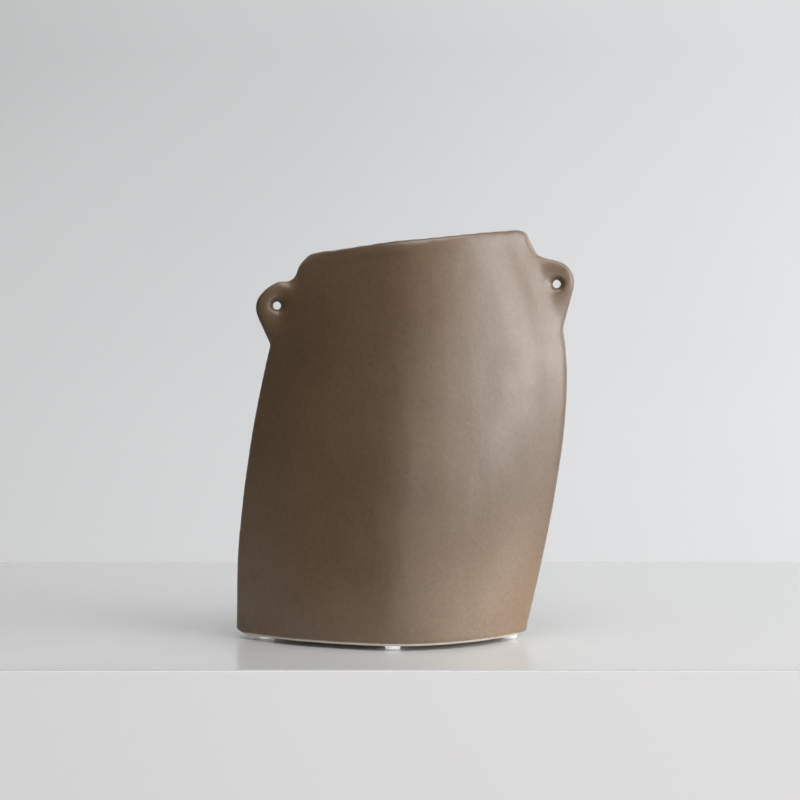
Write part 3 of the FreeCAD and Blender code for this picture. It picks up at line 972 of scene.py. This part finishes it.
def turned(name, outline, foot):
    """A solid of revolution that stands on a place."""
    work = bmesh.new()
    rings = [ring(work, foot, radius, height) for radius, height in outline]
    for lower, upper in zip(rings, rings[1:]):
        bridge(work, lower, upper)
    bmesh.ops.recalc_face_normals(work, faces=work.faces)
    mesh = bpy.data.meshes.new(name)
    work.to_mesh(mesh)
    work.free()
    mesh.shade_smooth()
    piece = bpy.data.objects.new(name, mesh)
    bpy.context.collection.objects.link(piece)
    return piece


for name in BUMPER_NODES:
    low, high = (Vector(corner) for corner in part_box(name))
    centre = (low + high) / 2
    outline = dome_profile((high.x - low.x) / 2, high.z - low.z)
    dome = turned(f"{name}_dome", outline, Vector((centre.x, centre.y, low.z)))
    dome.data.materials.append(silicone)
    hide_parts(name)
    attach(dome, "root")
print("bumpers:", len(BUMPER_NODES))

# %% [markdown]
# ## Shelf and wall
#
# The vase stands on a pale painted shelf, with a pale wall far behind it. A thin panel closes the
# shelf's front. Wall and panel also get light from parts of the room that aren't modelled, so
# they glow a little, the wall more strongly towards the floor.

# %% Paints for the shelf and the wall
PATCH_SIZE = 500 * MM
SHELF_GREY = (0.66, 0.665, 0.665)
PANEL_GREY = (0.70, 0.69, 0.695)
WALL_GREY = (0.69, 0.70, 0.71)


def painted(name, colour, shade, roughness):
    """A paint with very slow patches, a shade darker in places."""
    material, tree, shader = new_material(name)
    darker = tuple(shade * c for c in colour)
    tone = ramp(tree, solid_noise(tree, PATCH_SIZE, 2), [(0.3, darker), (0.7, colour)])
    tree.links.new(tone, shader.inputs["Base Color"])
    shader.inputs["Roughness"].default_value = roughness
    return material, tree, shader


def shelf_paint():
    material, _, shader = painted("pale_shelf", SHELF_GREY, 0.97, 0.24)
    shader.inputs["Specular IOR Level"].default_value = 0.5
    return material


def glowing(name, colour, low, high):
    """A matt paint with a glow that changes evenly between two (height, strength) pairs."""
    material, tree, shader = painted(name, colour, 0.98, 0.8)
    place = tree.nodes.new("ShaderNodeTexCoord")
    split = tree.nodes.new("ShaderNodeSeparateXYZ")
    tree.links.new(place.outputs["Object"], split.inputs["Vector"])
    spread = tree.nodes.new("ShaderNodeMapRange")
    tree.links.new(split.outputs["Z"], spread.inputs["Value"])
    spread.inputs["From Min"].default_value = low[0]
    spread.inputs["From Max"].default_value = high[0]
    glow = ramp(tree, spread.outputs["Result"], [(0, grey(low[1])), (1, grey(high[1]))])
    tree.links.new(glow, shader.inputs["Emission Color"])
    shader.inputs["Emission Strength"].default_value = 1
    return material


# %% [markdown]
# ## Plain slabs for the stage
#
# Shelf, panel and wall are plain boxes given by two opposite corners. A real edge is never
# perfectly sharp, and the finest bevel is enough to let it catch a thin line of light.

# %% Build the shelf and the wall
SHELF_FRONT = -79 * MM
SHELF_BACK = 260 * MM
SHELF_THICKNESS = 50 * MM
SHELF_HALF_WIDTH = 1600 * MM
PANEL_THICKNESS = 0.8 * MM
PANEL_TOP = -0.6 * MM
PANEL_FOOT = -500 * MM
WALL_FACE = 1400 * MM
WALL_THICKNESS = 100 * MM
WALL_HALF_WIDTH = 2400 * MM
WALL_FOOT = -1000 * MM
WALL_TOP = 2400 * MM
STAGE_EDGE = 0.15 * MM


def slab(name, low, high, material):
    """A plain box of the stage, with a fine bevel along its edges."""
    mesh = bpy.data.meshes.new(name)
    work = bmesh.new()
    bmesh.ops.create_cube(work, size=1)
    for vert in work.verts:
        vert.co = Vector([lo + (hi - lo) * (c + 0.5) for lo, hi, c in zip(low, high, vert.co)])
    bmesh.ops.bevel(work, geom=work.edges[:], offset=STAGE_EDGE, segments=2, affect="EDGES")
    work.to_mesh(mesh)
    work.free()
    piece = bpy.data.objects.new(name, mesh)
    bpy.context.collection.objects.link(piece)
    piece.data.materials.append(material)


slab(
    "shelf",
    (-SHELF_HALF_WIDTH, SHELF_FRONT, -SHELF_THICKNESS),
    (SHELF_HALF_WIDTH, SHELF_BACK, 0),
    shelf_paint(),
)
slab(
    "shelf_front",
    (-SHELF_HALF_WIDTH, SHELF_FRONT - PANEL_THICKNESS, PANEL_FOOT),
    (SHELF_HALF_WIDTH, SHELF_FRONT, PANEL_TOP),
    glowing("pale_shelf_front", PANEL_GREY, (-0.30, 0.21), (0, 0.21)),
)
slab(
    "wall_of_the_room",
    (-WALL_HALF_WIDTH, WALL_FACE, WALL_FOOT),
    (WALL_HALF_WIDTH, WALL_FACE + WALL_THICKNESS, WALL_TOP),
    glowing("pale_wall", WALL_GREY, (-0.15, 0.27), (0.50, 0.05)),
)
print("shelf from", round(SHELF_FRONT / MM), "to", round(SHELF_BACK / MM), "mm")
print("wall at", round(WALL_FACE / MM), "mm")

# %% [markdown]
# ## Light from the right
#
# One very broad window on the right gives the glaze its wide highlight and leaves the left flank
# in shade. A lower pane and one behind the vase light its foot and its right edge. The room in
# front, the floor and the ceiling send back weak warm light, and the pale shelf throws some of
# all this up under the belly.

# %% Hang the lights
DAYLIGHT = (0.975, 0.985, 1.0)
ROOM_LIGHT = (1.0, 0.975, 0.94)
CEILING_LIGHT = (1.0, 0.99, 0.975)
AIR_COLOUR = (0.85, 0.83, 0.80, 1)
AIR_STRENGTH = 0.03

# Name, place, what it faces, width and height in metres, power in watts, and colour.
LIGHTS = [
    ("window", (2.56, -1.02, 1.00), (0, 0, 0.10), 2.3, 2.7, 73, DAYLIGHT),
    ("rear_window", (1.70, 1.20, 0.70), (0, 0, 0.10), 0.7, 1.4, 9, DAYLIGHT),
    ("low_window", (2.4, -0.9, 0.22), (0, 0, 0.05), 2.0, 0.5, 14, DAYLIGHT),
    ("room", (0.65, -1.85, 0.15), (0, 0, 0.1), 2.2, 0.8, 6, ROOM_LIGHT),
    ("floor_bounce", (0.6, -1.6, -0.55), (0, 0, 0.08), 2.0, 0.9, 5, ROOM_LIGHT),
    ("ceiling", (0.3, -0.6, 2.2), (0.1, 0, 0.1), 2.4, 1.6, 38, CEILING_LIGHT),
]


def area_light(name, place, target, width, height, power, colour):
    data = bpy.data.lights.new(name, "AREA")
    data.shape = "RECTANGLE"
    data.size = width
    data.size_y = height
    data.energy = power
    data.color = colour
    lamp = bpy.data.objects.new(name, data)
    lamp.location = place
    aim = Vector(target) - Vector(place)
    lamp.rotation_euler = aim.to_track_quat("-Z", "Y").to_euler()
    bpy.context.collection.objects.link(lamp)


for light in LIGHTS:
    area_light(*light)
world = bpy.data.worlds.new("room_air")
world.use_nodes = True
world.node_tree.nodes["Background"].inputs["Color"].default_value = AIR_COLOUR
world.node_tree.nodes["Background"].inputs["Strength"].default_value = AIR_STRENGTH
bpy.context.scene.world = world
bpy.context.scene.view_settings.view_transform = "Standard"
print("lights:", ", ".join(light[0] for light in LIGHTS))

# %% [markdown]
# ## The camera
#
# The photograph was taken level, a little above the belly, from less than a metre away. The small
# vertical shift puts the horizon where the photograph has it without tilting the camera, so that
# upright edges stay upright.

# %% Set up the camera
CAMERA_PLACE = (-2.5 * MM, -870 * MM, 163 * MM)
CAMERA_TURN = (math.radians(90), 0, 0)
CAMERA_LENS = 78.3
CAMERA_SENSOR = 36
CAMERA_SHIFT = -0.111
CAMERA_FARTHEST = 20

camera_data = bpy.data.cameras.new("camera")
camera_data.sensor_width = CAMERA_SENSOR
camera_data.lens = CAMERA_LENS
camera_data.shift_y = CAMERA_SHIFT
camera_data.clip_end = CAMERA_FARTHEST
camera = bpy.data.objects.new("camera", camera_data)
camera.location = CAMERA_PLACE
camera.rotation_euler = CAMERA_TURN
bpy.context.collection.objects.link(camera)
bpy.context.scene.camera = camera
print("camera at", [round(v / MM, 1) for v in CAMERA_PLACE], "mm")
